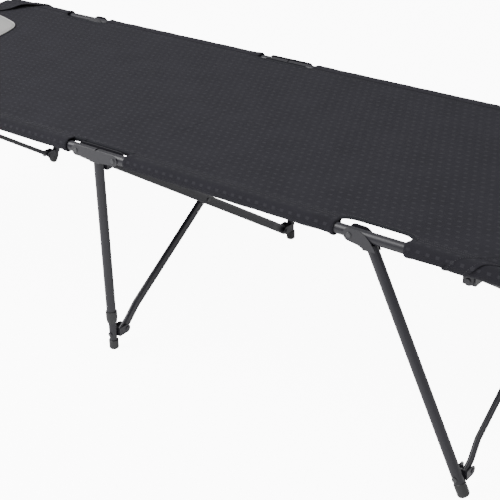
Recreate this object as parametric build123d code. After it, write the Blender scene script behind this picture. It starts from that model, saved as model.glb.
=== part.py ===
from build123d import *
import math
import os

# A folding camp cot. Two long rails, each hinged at the middle, carry a stretched
# fabric bed. A crossed pair of braces and two telescoping legs stand at the middle,
# and two swinging legs with their own crossed braces stand at each end.
# X runs from the head end to the foot end, Y from the front side to the back side,
# and Z is up. The origin is on the floor under the middle of the bed.

# Overall sizes
RAIL_Y = 344.0            # a rail's axis from the middle line
RAIL_Z = 488.0            # a rail's axis above the floor
RAIL_END = 1004.0         # a rail half's outer end

# Tubes
TUBE_D = 22.0             # rails, upper middle legs and end legs
WALL = 1.2
TELESCOPE_FREE = 0.8      # round a lower middle leg, inside the upper one
FLAT_W = 23.0             # middle braces are flat-sided tubes
FLAT_T = 11.0
ROUND_D = 13.0            # end braces are round tubes
TONGUE_PAST = 8.0         # a brace's straight end, past the nose of its clevis
JOG = 45.0                # length over which a brace is set over
BEND_R = 60.0
PLUG_L = 14.0             # plug in a rail's outer end, with a rounded cap
CAP_L = 4.0
CAP_ROUND = 3.0

# Hinge places
RAIL_PIVOT_X = 55.0       # fold pivot of each rail half
RAIL_GAP = 2.0            # a rail half's inner end from the middle plane
END_PIVOT_X = 654.0       # swing pivot of an end leg
END_LEG_ANGLE = 65.0      # an end leg below the rail, at the open position
LEG_OFFSET = 31.5         # an end leg's axis from its pivot
CLEVIS_IN = 34.5          # a brace pivot from the axis of its leg
LOW_PIVOT_Z = 40.0        # lower brace pivots above the floor
HANG = 30.0               # upper brace pivots of the end legs, below the rail's axis
CLOSED_BRACE_ANGLE = 87.8  # braces above the horizontal, when folded

# Sheet metal and fasteners
CHEEK_T = 1.6             # a bracket's metal
CHEEK_OVER = 2.0          # an end bracket's round end, past the tube's radius
CHEEK_LIP = 0.4           # an end bracket's toe, past its web
OUTER_CHEEK = (44.0, 34.0)  # how far along the leg an outer cheek's heel and toe lie
INNER_CHEEK = 46.0        # an inner cheek's lower end, along the leg
WEB_SPAN = (22.0, 33.0)   # an end bracket's web, along the leg
WEB_FREE = 0.3            # an end bracket's web from the leg
CENTRE_WEB_SHORT = 12.0   # the middle bracket's web, short of the fold pivots
TAB_DROP = 17.0           # the middle bracket's tab, below the rail's axis
TAB_SHOULDER = 31.0       # half of the tab's root, past the leg's radius
CLEVIS_T = 2.0
CLEVIS_W = 26.0
CLEVIS_R = 10.0
CLEVIS_ROOM = 1.0         # between the middle bracket's tab and the clevis below it
LUG_T = 3.4               # plate that hangs from a rail and holds an end brace
LUG_R = 10.0
LUG_HALF = 9.0
LUG_SHOULDER = (7.0, 4.0)  # the lug's upper corners: below the axis, and radius
RIVET_D = 6.0
HEAD_D = 11.0
HEAD_H = 2.2
TAIL_H = 0.6              # a rivet's flat tail, outside a tube
FREE = 0.3                # gap beside a moving tube
PIN_FREE = 0.05           # gap round a rivet's shank
CUT_FREE = 1.0            # an end leg's cut top, under the rail

# Plastic pieces
FOOT_WALL = 2.25          # middle feet
FOOT_H = 24.0
FOOT_ROUND = 4.5
FOOT_RIM = 1.2            # chamfer round a foot's top
FOOT_FLOOR = 4.0          # thickness under the tube
END_FOOT_WALL = 1.45
END_FOOT_H = 30.0
END_FOOT_ROUND = 7.0
COLLAR_WALL = 2.25
COLLAR_H = 30.0
COLLAR_BELOW = 14.0       # the collar, below the end of the upper leg
OUTER_LEG_BOTTOM = 84.0

# Fabric
FABRIC_T = 2.0
BED_T = 4.0
BED_FREE = 1.0            # between the bed and the sleeves
HEM_PAST = 18.0           # the bed's end hem, past the rail's end
SLEEVE_PAST = 8.0         # the sleeve's end, past the rail's end
MID_NOTCH_PAST = 30.0     # the middle cut-out, past the fold pivots
END_NOTCH_PAST = (37.0, 117.0)  # the end cut-outs, either side of the leg's pivot
SLIT_HALF = 19.0          # slit in the sleeve for the lug
SLIT_IN = 3.0             # the slit's upper edges: inboard of the axis, and below it
SLIT_BELOW = 2.0
PAD_END = 22.0            # the headrest, from the end hem
PAD_L = 225.0
PAD_HEAD_HALF = 222.0     # half width at the head side
PAD_FOOT_HALF = 175.0     # half width at the foot side
PAD_SIDE_BOW = 5.0        # how far each curved edge bows out
PAD_FOOT_BOW = 40.0
PAD_ROUND = 30.0
PAD_T = 12.0
PAD_EDGE = 4.0
PAD_FREE = 0.5            # between the pad and the bed

TUBE_R = TUBE_D / 2
INNER_R = TUBE_R - WALL - TELESCOPE_FREE     # lower part of a middle leg
FOOT_R = INNER_R + PIN_FREE + FOOT_WALL
END_FOOT_R = TUBE_R + PIN_FREE + END_FOOT_WALL
SLOT_Y = TUBE_R + FREE                       # inner face of a bracket's cheek
OUT_Y = SLOT_Y + CHEEK_T                     # outer face of a bracket's cheek
SLEEVE_R = TUBE_R + FREE + FABRIC_T
BED_TOP = RAIL_Z + TUBE_R
FABRIC_END = RAIL_END + HEM_PAST
CLEVIS_BACK = TUBE_R + FREE                  # a clevis that swivels on a rail's lug
LEAN = math.radians(END_LEG_ANGLE)
SIDES = {"front": -1, "back": 1}
ENDS = {"head": -1, "foot": 1}


# ---- the linkage, in the plane of one side -------------------------------------

def leg_point(along, across=0.0):
    """A point of the foot-end leg: along its axis from the foot of the
    perpendicular dropped from the pivot, and across it, away from the pivot."""
    out = LEG_OFFSET + across
    x = END_PIVOT_X + out * math.sin(LEAN) + along * math.cos(LEAN)
    z = RAIL_Z + out * math.cos(LEAN) - along * math.sin(LEAN)
    return x, z


LEG_TO_PIVOT = (RAIL_Z + LEG_OFFSET * math.cos(LEAN) - LOW_PIVOT_Z) / math.sin(LEAN)
LOW_X, LOW_Z = leg_point(LEG_TO_PIVOT)
HIGH_Z = RAIL_Z - HANG
PIVOT_SPAN = 2 * (RAIL_Y - CLEVIS_IN)


def upper_pivot_x():
    """Places the upper pivot of the end braces so that the end leg lies parallel
    to its rail when the braces reach their closed angle. Two lengths have to
    agree: the brace at rest, and the brace with the leg folded."""
    share = math.sin(math.radians(CLOSED_BRACE_ANGLE)) ** 2
    low = LOW_X - END_PIVOT_X
    rise = HIGH_Z - LOW_Z
    a = 1 - share
    b = 2 * (LEG_TO_PIVOT + share * low)
    c = (LEG_TO_PIVOT ** 2 + (LEG_OFFSET - HANG) ** 2
         - share * (PIVOT_SPAN ** 2 + low ** 2 + rise ** 2))
    return END_PIVOT_X + 2 * -c / (b + math.sqrt(b * b - 4 * a * c))


HIGH_X = upper_pivot_x()
END_RISE = math.hypot(LOW_X - HIGH_X, HIGH_Z - LOW_Z)
BRACE_L = math.hypot(PIVOT_SPAN, END_RISE)
BRACE_ANGLE = math.asin(END_RISE / BRACE_L)
END_TILT = math.atan2(LOW_X - HIGH_X, HIGH_Z - LOW_Z)
MID_HIGH_Z = LOW_PIVOT_Z + END_RISE


# ---- small tools ---------------------------------------------------------------

def bar(start, end, radius):
    """A round bar between two points."""
    way = Vector(*end) - Vector(*start)
    return extrude(Plane(origin=start, z_dir=way) * Circle(radius), way.length)


def tube(start, end, radius, wall=WALL):
    """A tube between two points, open at both ends."""
    way = (Vector(*end) - Vector(*start)).normalized()
    low = Vector(*start) - way
    high = Vector(*end) + way
    return bar(start, end, radius) - bar(low, high, radius - wall)


def rivet(x, z, y_low, y_high, heads=(True, True)):
    """A rivet along Y, with a domed head at the ends that have one."""
    ends = (((x, y_low, z), (0, -1, 0)), ((x, y_high, z), (0, 1, 0)))
    pin = bar((x, y_low, z), (x, y_high, z), RIVET_D / 2)
    return domed(pin, Axis.Y, *[end for end, has in zip(ends, heads) if has])


def hole(x, z, y_low, y_high, radius=RIVET_D / 2 + PIN_FREE):
    """The room that a rivet along Y needs."""
    return bar((x, min(y_low, y_high), z), (x, max(y_low, y_high), z), radius)


def plate(outline, y_low, y_high):
    """A flat plate in the XZ plane, from an outline of faces drawn in X and Z."""
    sheet = Plane(origin=(0, y_low, 0), x_dir=(1, 0, 0), z_dir=(0, -1, 0)) * outline
    return extrude(sheet, y_high - y_low, dir=(0, 1, 0))


def block(x, y, z):
    """A box between pairs of coordinates."""
    size = (abs(x[1] - x[0]), abs(y[1] - y[0]), abs(z[1] - z[0]))
    return Pos(sum(x) / 2, sum(y) / 2, sum(z) / 2) * Box(*size)


def disc(x, z, radius):
    return Pos(x, z) * Circle(radius)


def hull_of(*circles):
    """The outline round a set of circles, as tangent lines and arcs."""
    edges = [edge for circle in circles for edge in circle.edges()]
    return make_face(make_hull(edges).edges())


def mirrored_end(shape, end):
    """A shape drawn for the foot end, moved to its own end."""
    return shape if end > 0 else mirror(shape, Plane.YZ)


def save(shapes, name):
    """Writes one part, as a single solid or as an assembly of its solids."""
    solids = [solid for shape in shapes for solid in shape.solids()]
    body = solids[0] if len(solids) == 1 else Compound(children=solids)
    body.label = name
    export_step(body, f"parts/{name}.step")


def domed(pin, axis, *heads):
    """Adds domed heads to a rivet's shank, each from its face's centre outwards."""
    for start, way in heads:
        end = Vector(*start) + Vector(*way) * HEAD_H
        head = bar(start, end, HEAD_D / 2)
        rim = head.edges().sort_by(axis)[-1 if sum(way) > 0 else 0]
        pin += fillet(rim, 0.8 * HEAD_H)
    return pin


# ---- the clevis that holds a brace's end ---------------------------------------

def clevis(back, turn=0.0):
    """A U of sheet metal with its back plate against a leg at y = back, and two
    round-nosed arms that reach in to the brace pivot at y = CLEVIS_IN. It is drawn
    round the origin, with Y running from the leg's axis towards the middle line."""
    half = CLEVIS_W / 2
    inside = back + CLEVIS_T
    past = CLEVIS_IN + 2 * CLEVIS_R
    arm = Plane.YZ * (
        Pos((back + CLEVIS_IN) / 2, 0) * Rectangle(CLEVIS_IN - back, 2 * CLEVIS_R)
        + Pos(CLEVIS_IN, 0) * Circle(CLEVIS_R)
    )
    solid = extrude(arm, half, both=True)
    solid -= block((CLEVIS_T - half, half - CLEVIS_T), (inside, past), (-past, past))
    solid -= bar((-past, CLEVIS_IN, 0), (past, CLEVIS_IN, 0), RIVET_D / 2 + PIN_FREE)
    solid -= hole(0, 0, 0, inside + CLEVIS_T)
    return Rot(0, turn, 0) * solid


def clevis_pin(turn=0.0):
    """The brace's rivet, which lies across the clevis."""
    half = CLEVIS_W / 2
    pin = bar((-half, CLEVIS_IN, 0), (half, CLEVIS_IN, 0), RIVET_D / 2)
    pin = domed(pin, Axis.X, *[((way * half, CLEVIS_IN, 0), (way, 0, 0)) for way in (-1, 1)])
    return Rot(0, turn, 0) * pin


def at_side(shape, side, end=1):
    """Moves a shape drawn for the foot end, round a rail's axis, to its side and end."""
    if side > 0:
        shape = mirror(shape, Plane.XZ)
    return Pos(0, side * RAIL_Y, 0) * mirrored_end(shape, end)


# ---- braces --------------------------------------------------------------------

def brace(section, thickness, layer):
    """A tube between two pivots at the origin and at (BRACE_L, 0, 0), with three
    rivet holes. Its ends lie in the middle plane, and its run is set over to one
    side. The section is drawn for a given offset, so the bore uses it again."""
    shift = layer * (thickness / 2 + FREE)
    over = CLEVIS_R + TONGUE_PAST
    points = [(-CLEVIS_R, 0), (over, 0), (over + JOG, shift),
              (BRACE_L - over - JOG, shift), (BRACE_L - over, 0),
              (BRACE_L + CLEVIS_R, 0)]
    path = FilletPolyline(*[(x, 0, z) for x, z in points], radius=BEND_R)
    start = Plane(origin=path @ 0, x_dir=(0, 1, 0), z_dir=path % 0)
    shape = sweep(start * section(0), path=path) - sweep(start * section(WALL), path=path)
    for x in (0.0, BRACE_L / 2, BRACE_L):
        shape -= bar((x, 0, -2 * thickness), (x, 0, 2 * thickness), RIVET_D / 2 + PIN_FREE)
    return shape


def flat_section(inset):
    return SlotOverall(FLAT_W - 2 * inset, FLAT_T - 2 * inset)


def round_section(inset):
    return Circle(ROUND_D / 2 - inset)


def brace_place(x, high_z, tilt, side):
    """Lays a brace from the upper pivot of one side to the lower pivot of the
    other. The brace's own length runs down the slope, and its shift points to +X."""
    along = Vector(0, -side * math.cos(BRACE_ANGLE), -math.sin(BRACE_ANGLE))
    start = Vector(x, side * (RAIL_Y - CLEVIS_IN), high_z)
    place = Plane(origin=(0, 0, 0), x_dir=along, z_dir=(1, 0, 0))
    turned = Rot(0, math.degrees(-tilt), 0)
    return Pos(*start) * turned * place.location


def crossing_pin(depth):
    """The rivet where two braces cross, drawn along Z round the origin."""
    pin = bar((0, 0, -depth), (0, 0, depth), RIVET_D / 2)
    return domed(pin, Axis.Z, *[((0, 0, way * depth), (0, 0, way)) for way in (-1, 1)])


# ---- middle assembly, on one side ----------------------------------------------

def centre_bracket():
    """Two cheeks and a web under the rails, with a tab drawn down over the leg."""
    round_end = TUBE_R + 1.0
    cheek = (Rectangle(2 * RAIL_PIVOT_X, 2 * round_end)
             + disc(RAIL_PIVOT_X, 0, round_end) + disc(-RAIL_PIVOT_X, 0, round_end))
    right = Spline((TUBE_R + 2, -TAB_DROP), (TUBE_R + 9, -(TAB_DROP + round_end) / 2),
                   (TUBE_R + TAB_SHOULDER, -round_end), tangents=((0.5, 1), (1, 0.2)))
    left = mirror(right, Plane.YZ)
    tab = make_face([right, left, Line(right @ 0, left @ 0), Line(right @ 1, left @ 1)])
    far = 2 * RAIL_PIVOT_X
    bracket = plate(cheek + tab, -OUT_Y, OUT_Y)
    bracket -= block((-far, far), (-SLOT_Y, SLOT_Y), (-far, far))
    web_x = RAIL_PIVOT_X - CENTRE_WEB_SHORT
    bracket += block((-web_x, web_x), (-OUT_Y, OUT_Y), (-SLOT_Y - CHEEK_T, -SLOT_Y))
    for x in (RAIL_PIVOT_X, -RAIL_PIVOT_X):
        bracket -= hole(x, 0, -2 * OUT_Y, 2 * OUT_Y)
    # Room for the upper clevis, where it comes close to the tab.
    room_x = CLEVIS_W / 2 + CLEVIS_ROOM
    room_z = MID_HIGH_Z + CLEVIS_R + CLEVIS_ROOM - RAIL_Z
    bracket -= block((-room_x, room_x), (TUBE_R, 2 * OUT_Y), (-far, room_z))
    return Pos(0, 0, RAIL_Z) * bracket


def collar():
    """A bell-shaped bush that guides the lower leg."""
    bore, fit, outer = INNER_R + FREE, TUBE_R + PIN_FREE, TUBE_R + PIN_FREE + COLLAR_WALL
    base = OUTER_LEG_BOTTOM - COLLAR_BELOW
    step = OUTER_LEG_BOTTOM - 0.1
    section = Polyline((bore, base), (bore + 2.2, base), (outer - 0.4, base + 9),
                       (outer, base + 12), (outer, base + COLLAR_H - 2),
                       (outer - 1.5, base + COLLAR_H), (fit, base + COLLAR_H),
                       (fit, step), (bore, step), close=True)
    return revolve(Plane.XZ * make_face(section), Axis.Z)


def centre_side(name, side):
    # Upper leg: a tube from the bracket's web down to the collar.
    top = RAIL_Z - SLOT_Y - CHEEK_T
    upper = tube((0, 0, OUTER_LEG_BOTTOM), (0, 0, top), TUBE_R)
    upper -= hole(0, MID_HIGH_Z, 0, OUT_Y)

    # Upper clevis: a blind rivet holds it to the leg's inner face.
    back = TUBE_R + PIN_FREE
    high, low = Pos(0, 0, MID_HIGH_Z), Pos(0, 0, LOW_PIVOT_Z)
    rivets = [rivet(0, MID_HIGH_Z, TUBE_R - WALL, back + CLEVIS_T, heads=(False, True)),
              high * clevis_pin()]
    rivets += [rivet(x, RAIL_Z, -OUT_Y, OUT_Y) for x in (RAIL_PIVOT_X, -RAIL_PIVOT_X)]

    # Lower leg: it slides inside the upper one and stands in a rubber foot.
    lower = tube((0, 0, FOOT_FLOOR), (0, 0, MID_HIGH_Z - RIVET_D), INNER_R)
    lower -= hole(0, LOW_PIVOT_Z, -TUBE_D, TUBE_D)
    foot = bar((0, 0, 0), (0, 0, FOOT_H), FOOT_R)
    foot = fillet(foot.edges().sort_by(Axis.Z)[0], FOOT_ROUND)
    foot = chamfer(foot.edges().sort_by(Axis.Z)[-1], FOOT_RIM)
    foot -= bar((0, 0, FOOT_FLOOR), (0, 0, 2 * FOOT_H), INNER_R + PIN_FREE)
    low_back = INNER_R + PIN_FREE
    low_pieces = [low * clevis(low_back), low * clevis_pin(),
                  rivet(0, LOW_PIVOT_Z, -INNER_R - TAIL_H, low_back + CLEVIS_T)]

    pieces = {
        "centre_bracket": [centre_bracket()], "upper_leg": [upper], "leg_collar": [collar()],
        "upper_clevis": [high * clevis(back)], "centre_rivets": rivets,
        "lower_leg": [lower], "lower_foot": [foot], "lower_clevis": low_pieces,
    }
    for piece, shapes in pieces.items():
        save([at_side(shape, side) for shape in shapes], f"{name}_{piece}")


# ---- rails ---------------------------------------------------------------------

def rail_half(name, side, end):
    shape = tube((RAIL_GAP, 0, RAIL_Z), (RAIL_END, 0, RAIL_Z), TUBE_R)
    below, shoulder_r = LUG_SHOULDER
    lug = hull_of(*[disc(HIGH_X + way * LUG_HALF, RAIL_Z - below, shoulder_r) for way in (-1, 1)],
                  disc(HIGH_X, HIGH_Z, LUG_R))
    shape += (plate(lug, TUBE_R - LUG_T, TUBE_R)
              - bar((0, 0, RAIL_Z), (RAIL_END, 0, RAIL_Z), TUBE_R - WALL / 2))
    for x in (RAIL_PIVOT_X, END_PIVOT_X):
        shape -= hole(x, RAIL_Z, -TUBE_D, TUBE_D)
    shape -= hole(HIGH_X, HIGH_Z, 0, TUBE_D)
    plug = bar((RAIL_END - PLUG_L, 0, RAIL_Z), (RAIL_END, 0, RAIL_Z), TUBE_R - WALL - PIN_FREE)
    cap = bar((RAIL_END, 0, RAIL_Z), (RAIL_END + CAP_L, 0, RAIL_Z), TUBE_R)
    cap = fillet(cap.edges().sort_by(Axis.X)[-1], CAP_ROUND)
    save([at_side(s, side, end) for s in (shape, plug + cap)], f"{name}_rail")


def sleeve(name, side, end):
    """The fabric round one rail half, in two lengths between the notches."""
    stops = [RAIL_PIVOT_X + MID_NOTCH_PAST, END_PIVOT_X - END_NOTCH_PAST[0],
             END_PIVOT_X + END_NOTCH_PAST[1], RAIL_END + SLEEVE_PAST]
    inner, outer = [tube((low, 0, RAIL_Z), (high, 0, RAIL_Z), SLEEVE_R, FABRIC_T)
                    for low, high in (stops[:2], stops[2:])]
    outer -= block((HIGH_X - SLIT_HALF, HIGH_X + SLIT_HALF), (SLIT_IN, 2 * SLEEVE_R),
                   (RAIL_Z - 2 * SLEEVE_R, RAIL_Z - SLIT_BELOW))
    save([at_side(s, side, end) for s in (inner, outer)], f"{name}_sleeve")


# ---- end legs ------------------------------------------------------------------

def foot_along():
    """How far along the axis the foot cap's flat end lies, so that the lowest
    point of its rounded rim is on the floor."""
    lean = math.cos(LEAN)
    low = RAIL_Z + LEG_OFFSET * lean
    rim = END_FOOT_ROUND
    return (low - (END_FOOT_R - rim) * lean - rim) / math.sin(LEAN) + rim


def cheek_outline(heel, toe):
    """An end bracket's cheek: round over the pivot, straight along the rail, then
    curving down to the leg. The lower edge is hollow. HEEL and TOE are the outer and
    inner corners of its lower end."""
    cheek_r = TUBE_R + CHEEK_OVER
    top = (END_PIVOT_X, RAIL_Z + cheek_r)
    bend = (END_PIVOT_X + 1.5 * cheek_r, RAIL_Z + cheek_r)
    root = (END_PIVOT_X, RAIL_Z - cheek_r)
    down = (math.cos(LEAN), -math.sin(LEAN))
    upper = Spline(bend, heel, tangents=((1, 0), down), tangent_scalars=(0.9, 0.9))
    lower = Spline(toe, root, tangents=((-down[0], -down[1]), (-1, 0.3)),
                   tangent_scalars=(0.9, 0.6))
    sides = [Line(top, bend), upper, Line(heel, toe), lower, Line(root, top)]
    return make_face(sides) + disc(END_PIVOT_X, RAIL_Z, cheek_r)


def end_leg(name, side, end):
    foot_end = foot_along()
    tube_end = foot_end - FOOT_FLOOR

    def on_leg(along):
        x, z = leg_point(along)
        return x, 0, z

    # The leg's top is cut parallel to the rail, just under it.
    leg = tube(on_leg(0), on_leg(tube_end), TUBE_R)
    leg -= block((0, 2 * RAIL_END), (-TUBE_D, TUBE_D), (RAIL_Z - TUBE_R - CUT_FREE, 2 * RAIL_Z))
    clip = leg_point(INNER_CHEEK - 8)
    leg -= hole(*clip, 0, TUBE_D)
    leg -= hole(LOW_X, LOW_Z, -TUBE_D, TUBE_D)

    # Bracket: two cheeks, joined by a web on the side that faces the middle.
    toe_across = -TUBE_R - WEB_FREE - CHEEK_T - CHEEK_LIP
    outer = cheek_outline(leg_point(OUTER_CHEEK[0], TUBE_R + 1),
                          leg_point(OUTER_CHEEK[1], toe_across))
    inner = cheek_outline(leg_point(INNER_CHEEK, TUBE_R - 3), leg_point(INNER_CHEEK, toe_across))
    bracket = plate(outer, -OUT_Y, 0) + plate(inner, 0, OUT_Y)
    bracket -= block((0, 2 * RAIL_END), (-SLOT_Y, SLOT_Y), (0, 2 * RAIL_Z))
    middle = leg_point(sum(WEB_SPAN) / 2, -TUBE_R - WEB_FREE - CHEEK_T / 2)
    strip = Pos(*middle) * Rot(0, 0, 90 - END_LEG_ANGLE) * Rectangle(
        CHEEK_T, WEB_SPAN[1] - WEB_SPAN[0])
    bracket += plate(strip, -OUT_Y + CHEEK_T / 8, OUT_Y - CHEEK_T / 8)
    bracket -= hole(END_PIVOT_X, RAIL_Z, -2 * OUT_Y, 2 * OUT_Y)
    bracket -= hole(*clip, 0, 2 * OUT_Y)

    # The foot rivet ends inside the leg's inner face, beside the sliding clevis.
    rivets = [rivet(END_PIVOT_X, RAIL_Z, -OUT_Y, OUT_Y),
              rivet(*clip, TUBE_R - WALL, OUT_Y, heads=(False, True)),
              rivet(LOW_X, LOW_Z, -TUBE_R - TAIL_H, TUBE_R - FREE, heads=(True, False))]

    foot = bar(on_leg(foot_end - END_FOOT_H), on_leg(foot_end), END_FOOT_R)
    foot = fillet(foot.edges().filter_by(GeomType.CIRCLE).sort_by(Axis.Z)[0], END_FOOT_ROUND)
    foot = chamfer(foot.edges().filter_by(GeomType.CIRCLE).sort_by(Axis.Z)[-1], FOOT_RIM)
    foot -= bar(on_leg(foot_end - 2 * END_FOOT_H), on_leg(tube_end), TUBE_R + PIN_FREE)
    pieces = {"leg": [leg], "leg_bracket": [bracket], "leg_rivets": rivets, "leg_foot": [foot]}
    for piece, shapes in pieces.items():
        save([at_side(shape, side, end) for shape in shapes], f"{name}_{piece}")


# ---- scissors ------------------------------------------------------------------

def end_clevises(name, side, end):
    """The clevises that swivel on their own rivets: on the rail's lug above, and
    beside the leg's inner face below."""
    turn = -math.degrees(END_TILT)
    low_back = END_FOOT_R + FREE
    upper = [clevis(CLEVIS_BACK, turn), clevis_pin(turn),
             rivet(0, 0, TUBE_R - LUG_T, CLEVIS_BACK + CLEVIS_T)]
    lower = [clevis(low_back, turn), clevis_pin(turn),
             rivet(0, 0, low_back + PIN_FREE, low_back + CLEVIS_T, heads=(False, True))]
    for place, x, z, shapes in (("upper", HIGH_X, HIGH_Z, upper), ("lower", LOW_X, LOW_Z, lower)):
        save([at_side(Pos(x, 0, z) * s, side, end) for s in shapes], f"{name}_{place}_clevis")


def scissor(name, section, thickness, x, high_z, tilt, end):
    """Two crossed braces and their rivet. Brace A starts at the front's upper
    pivot and runs on the +X side, brace B starts at the back's, on the -X side."""
    for letter, side, layer in (("a", -1, 1), ("b", 1, -1)):
        shape = brace_place(x, high_z, tilt, side) * brace(section, thickness, layer)
        save([mirrored_end(shape, end)], f"{name}_brace_{letter}")
    pin = Plane(origin=(0, 0, 0), z_dir=(1, 0, 0)).location * crossing_pin(thickness + FREE)
    pin = Pos(x, 0, high_z) * Rot(0, math.degrees(-tilt), 0) * Pos(0, 0, -END_RISE / 2) * pin
    save([mirrored_end(pin, end)], f"{name}_crossing_rivet")


# ---- fabric --------------------------------------------------------------------

def bed():
    """The stretched sheet between the sleeves."""
    half = RAIL_Y - SLEEVE_R - BED_FREE
    sheet = block((-FABRIC_END, FABRIC_END), (-half, half), (BED_TOP - BED_T, BED_TOP))
    save([sheet], "bed_fabric")


def headrest():
    """The padded headrest sewn on top of the bed at the head end. Its sides draw in
    towards the foot, and its edges bow outwards."""
    head_x = PAD_END - FABRIC_END
    foot_x = head_x + PAD_L - PAD_FOOT_BOW
    mid_x = (head_x + foot_x) / 2
    mid_half = (PAD_HEAD_HALF + PAD_FOOT_HALF) / 2 + PAD_SIDE_BOW
    corners = [(head_x, PAD_HEAD_HALF), (foot_x, PAD_FOOT_HALF),
               (foot_x, -PAD_FOOT_HALF), (head_x, -PAD_HEAD_HALF)]
    outline = make_face([
        ThreePointArc(corners[0], (mid_x, mid_half), corners[1]),
        ThreePointArc(corners[1], (foot_x + PAD_FOOT_BOW, 0), corners[2]),
        ThreePointArc(corners[2], (mid_x, -mid_half), corners[3]),
        Line(corners[3], corners[0])])
    pad = extrude(Pos(0, 0, BED_TOP + PAD_FREE) * outline, PAD_T)
    pad = fillet(pad.edges().filter_by(Axis.Z), PAD_ROUND)
    pad = fillet(pad.faces().sort_by(Axis.Z)[-1].edges(), PAD_EDGE)
    save([pad], "headrest_pad")


os.makedirs("parts", exist_ok=True)
for side_name, side in SIDES.items():
    centre_side(side_name, side)
    for end_name, end in ENDS.items():
        for maker in (rail_half, sleeve, end_leg, end_clevises):
            maker(f"{side_name}_{end_name}", side, end)
scissor("centre", flat_section, FLAT_T, 0, MID_HIGH_Z, 0, 1)
for end_name, end in ENDS.items():
    scissor(end_name, round_section, ROUND_D, HIGH_X, HIGH_Z, END_TILT, end)
bed()
headrest()
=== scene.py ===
import bmesh
import bpy
import math
import numpy as np
from mathutils import Matrix, Vector


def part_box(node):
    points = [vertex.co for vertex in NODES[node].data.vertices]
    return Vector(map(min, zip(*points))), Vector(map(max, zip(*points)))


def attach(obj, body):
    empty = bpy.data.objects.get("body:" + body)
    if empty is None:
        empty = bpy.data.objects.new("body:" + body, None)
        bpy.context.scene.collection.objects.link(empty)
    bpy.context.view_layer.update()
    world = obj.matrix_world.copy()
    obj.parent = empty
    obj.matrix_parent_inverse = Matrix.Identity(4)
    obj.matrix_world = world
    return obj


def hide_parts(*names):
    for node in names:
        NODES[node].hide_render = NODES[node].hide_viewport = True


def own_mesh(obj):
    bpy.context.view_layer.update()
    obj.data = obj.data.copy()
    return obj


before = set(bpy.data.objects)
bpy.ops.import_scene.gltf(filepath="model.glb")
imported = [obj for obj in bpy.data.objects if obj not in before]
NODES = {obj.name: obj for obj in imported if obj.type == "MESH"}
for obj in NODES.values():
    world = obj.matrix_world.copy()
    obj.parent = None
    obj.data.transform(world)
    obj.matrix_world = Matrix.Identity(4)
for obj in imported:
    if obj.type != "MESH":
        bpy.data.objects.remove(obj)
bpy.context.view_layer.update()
ENDS = {"head": -1, "foot": 1}
SIDES = {"front": -1, "back": 1}


# ---- Camera, floor and light ---------------------------------------------------
# A studio floor that reads as plain white, one wide soft light above the head end,
# a weaker one at the foot end, and an even white surround.

camera = bpy.data.objects.new("camera", bpy.data.cameras.new("camera"))
bpy.context.collection.objects.link(camera)
bpy.context.scene.camera = camera
azimuth, elevation, roll = math.radians(40.90), math.radians(26.69), math.radians(-2.56)
back = Vector((math.sin(azimuth) * math.cos(elevation),
               -math.cos(azimuth) * math.cos(elevation), math.sin(elevation)))
right = (-back).cross(Vector((0, 0, 1))).normalized()
up = right.cross(-back)
aim = Vector((0, 0, 0.1462))
turned = (right * math.cos(roll) + up * math.sin(roll),
          up * math.cos(roll) - right * math.sin(roll), back)
place = Matrix(turned).transposed().to_4x4()
place.translation = aim + back * 3.110
camera.matrix_world = place
camera.data.sensor_width = 36
camera.data.lens = 91.41
camera.data.shift_x = 0.0866
camera.data.shift_y = -0.0266
camera.data.clip_end = 50

floor_mesh = bpy.data.meshes.new("floor")
reach = 14
floor_mesh.from_pydata([(-reach, -reach, 0), (reach, -reach, 0), (reach, reach, 0), (-reach, reach, 0)],
                       [], [(0, 1, 2, 3)])
floor = bpy.data.objects.new("floor", floor_mesh)
bpy.context.collection.objects.link(floor)
floor_paint = bpy.data.materials.new("floor_paint")
floor_paint.use_nodes = True
floor_paint.node_tree.nodes["Principled BSDF"].inputs["Base Color"].default_value = (0.93, 0.93, 0.93, 1)
floor_paint.node_tree.nodes["Principled BSDF"].inputs["Roughness"].default_value = 0.9
floor_paint.node_tree.nodes["Principled BSDF"].inputs["Specular IOR Level"].default_value = 0.1
floor_paint.node_tree.nodes["Principled BSDF"].inputs["Emission Color"].default_value = (1, 1, 1, 1)
glow = floor_paint.node_tree.nodes.new("ShaderNodeMapRange")
glow.inputs["To Min"].default_value = 0.32
glow.inputs["To Max"].default_value = 10.0
seen = floor_paint.node_tree.nodes.new("ShaderNodeLightPath")
floor_paint.node_tree.links.new(seen.outputs["Is Camera Ray"], glow.inputs["Value"])
floor_paint.node_tree.links.new(glow.outputs["Result"],
                                floor_paint.node_tree.nodes["Principled BSDF"].inputs["Emission Strength"])
floor_mesh.materials.append(floor_paint)

world = bpy.data.worlds.new("studio")
world.use_nodes = True
world.node_tree.nodes["Background"].inputs["Color"].default_value = (1, 1, 1, 1)
world.node_tree.nodes["Background"].inputs["Strength"].default_value = 0.62
bpy.context.scene.world = world


def soft_light(name, at, aim_at, size, watts):
    """A square area light at one point, turned to face another."""
    lamp = bpy.data.lights.new(name, "AREA")
    lamp.size = size
    lamp.energy = watts
    light = bpy.data.objects.new(name, lamp)
    bpy.context.collection.objects.link(light)
    light.location = at
    light.rotation_euler = (Vector(aim_at) - Vector(at)).to_track_quat("-Z", "Y").to_euler()


soft_light("key", (-1.8, -1.6, 3.2), (0, 0, 0.4), 2.2, 135)
soft_light("fill", (2.6, -1.0, 2.4), (0.4, 0, 0.3), 2.0, 18)


# ---- Steel frame: rails, legs, braces, brackets and clevises --------------------
# Tubes and folded sheet, dipped in dark grey powder coat. The coat has a fine
# orange-peel grain and faint cloudy marks.

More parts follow.
